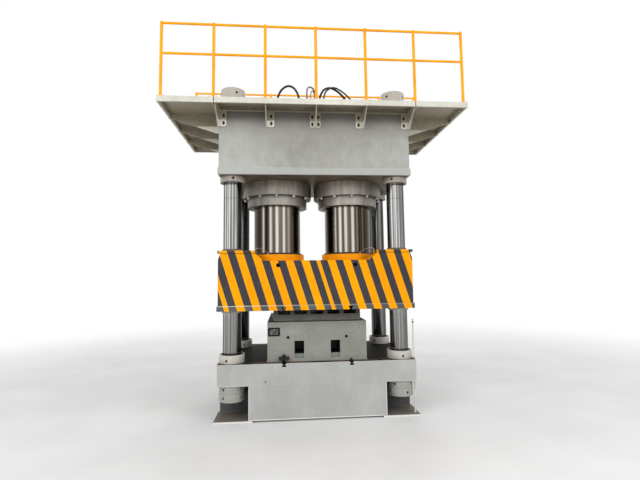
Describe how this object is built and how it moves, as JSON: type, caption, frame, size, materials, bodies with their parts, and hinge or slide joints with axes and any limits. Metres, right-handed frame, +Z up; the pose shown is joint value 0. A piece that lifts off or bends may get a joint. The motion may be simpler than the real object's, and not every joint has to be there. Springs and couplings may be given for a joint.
{
  "type": "four-column hydraulic press",
  "caption": "Hydraulic press on corner columns, with a striped slide driven by side-by-side rams, a box tool on its bed and a railed platform round its crown.",
  "frame": {"origin": "on the floor, midway between the columns", "axes": "+Z up, +X to the press's right as seen from its front, -Y to its front"},
  "size_m": [4.7, 2.5526, 5.9703],
  "materials": {
    "bed_paint": "off-white paint",
    "crown_paint": "pale grey satin paint",
    "cream_paint": "cream paint",
    "safety_yellow": "yellow safety paint, striped with dark grey on the slide",
    "column_steel": "ground and plated",
    "ram_steel": "ground and plated",
    "turned_steel": "turned",
    "nut_steel": "turned, with light rust",
    "tool_paint": "grey-green primer",
    "tool_steel": "machined plate",
    "black_steel": "blackened",
    "bronze": "bearing bronze",
    "hose_rubber": "hose cover",
    "pipe_paint": "cream paint"
  },
  "bodies": {
    "frame": {"bed": "bed_paint", "bed_locknut_front_left": "nut_steel", "bed_locknut_front_right": "nut_steel", "bed_locknut_rear_left": "nut_steel", "bed_locknut_rear_right": "nut_steel", "bed_nut_front_left": "nut_steel", "bed_nut_front_right": "nut_steel", "bed_nut_rear_left": "nut_steel", "bed_nut_rear_right": "nut_steel", "bed_ring_front_left": "nut_steel", "bed_ring_front_right": "nut_steel", "bed_ring_rear_left": "nut_steel", "bed_ring_rear_right": "nut_steel", "column_front_left": "column_steel", "column_front_right": "column_steel", "column_rear_left": "column_steel", "column_rear_right": "column_steel", "corner_pipe": "pipe_paint", "crown": "crown_paint", "crown_nut_front_left": "nut_steel", "crown_nut_front_right": "nut_steel", "crown_nut_rear_left": "nut_steel", "crown_nut_rear_right": "nut_steel", "crown_ring_front_left": "nut_steel", "crown_ring_front_right": "nut_steel", "crown_ring_rear_left": "nut_steel", "crown_ring_rear_right": "nut_steel", "cylinder_head_left": "turned_steel", "cylinder_head_right": "turned_steel", "cylinder_left": "turned_steel", "cylinder_right": "turned_steel", "die_box": "tool_paint", "die_clamp": "black_steel", "gland_left": "turned_steel", "gland_right": "turned_steel", "hose_left": "hose_rubber", "hose_loop": "hose_rubber", "hose_right": "hose_rubber", "manifold": "black_steel", "pedestal": "bed_paint", "platform_front": "cream_paint", "platform_left": "cream_paint", "platform_rear": "cream_paint", "platform_right": "cream_paint", "railing_front": "safety_yellow", "railing_rear": "safety_yellow", "t_slot_stud": "black_steel"},
    "slide_unit": {"grease_line_left": "column_steel", "grease_line_right": "column_steel", "guide_bush_front_left": "bronze", "guide_bush_front_right": "bronze", "guide_bush_rear_left": "bronze", "guide_bush_rear_right": "bronze", "ram_flange_left": "safety_yellow", "ram_flange_right": "safety_yellow", "ram_left": "ram_steel", "ram_right": "ram_steel", "slide": "safety_yellow", "upper_tool": "tool_steel"}
  },
  "joints": [
    {"name": "slide_travel", "type": "slide", "parent": "frame", "child": "slide_unit", "axis": [0, 0, 1], "range_m": [0, 0.7]}
  ]
}
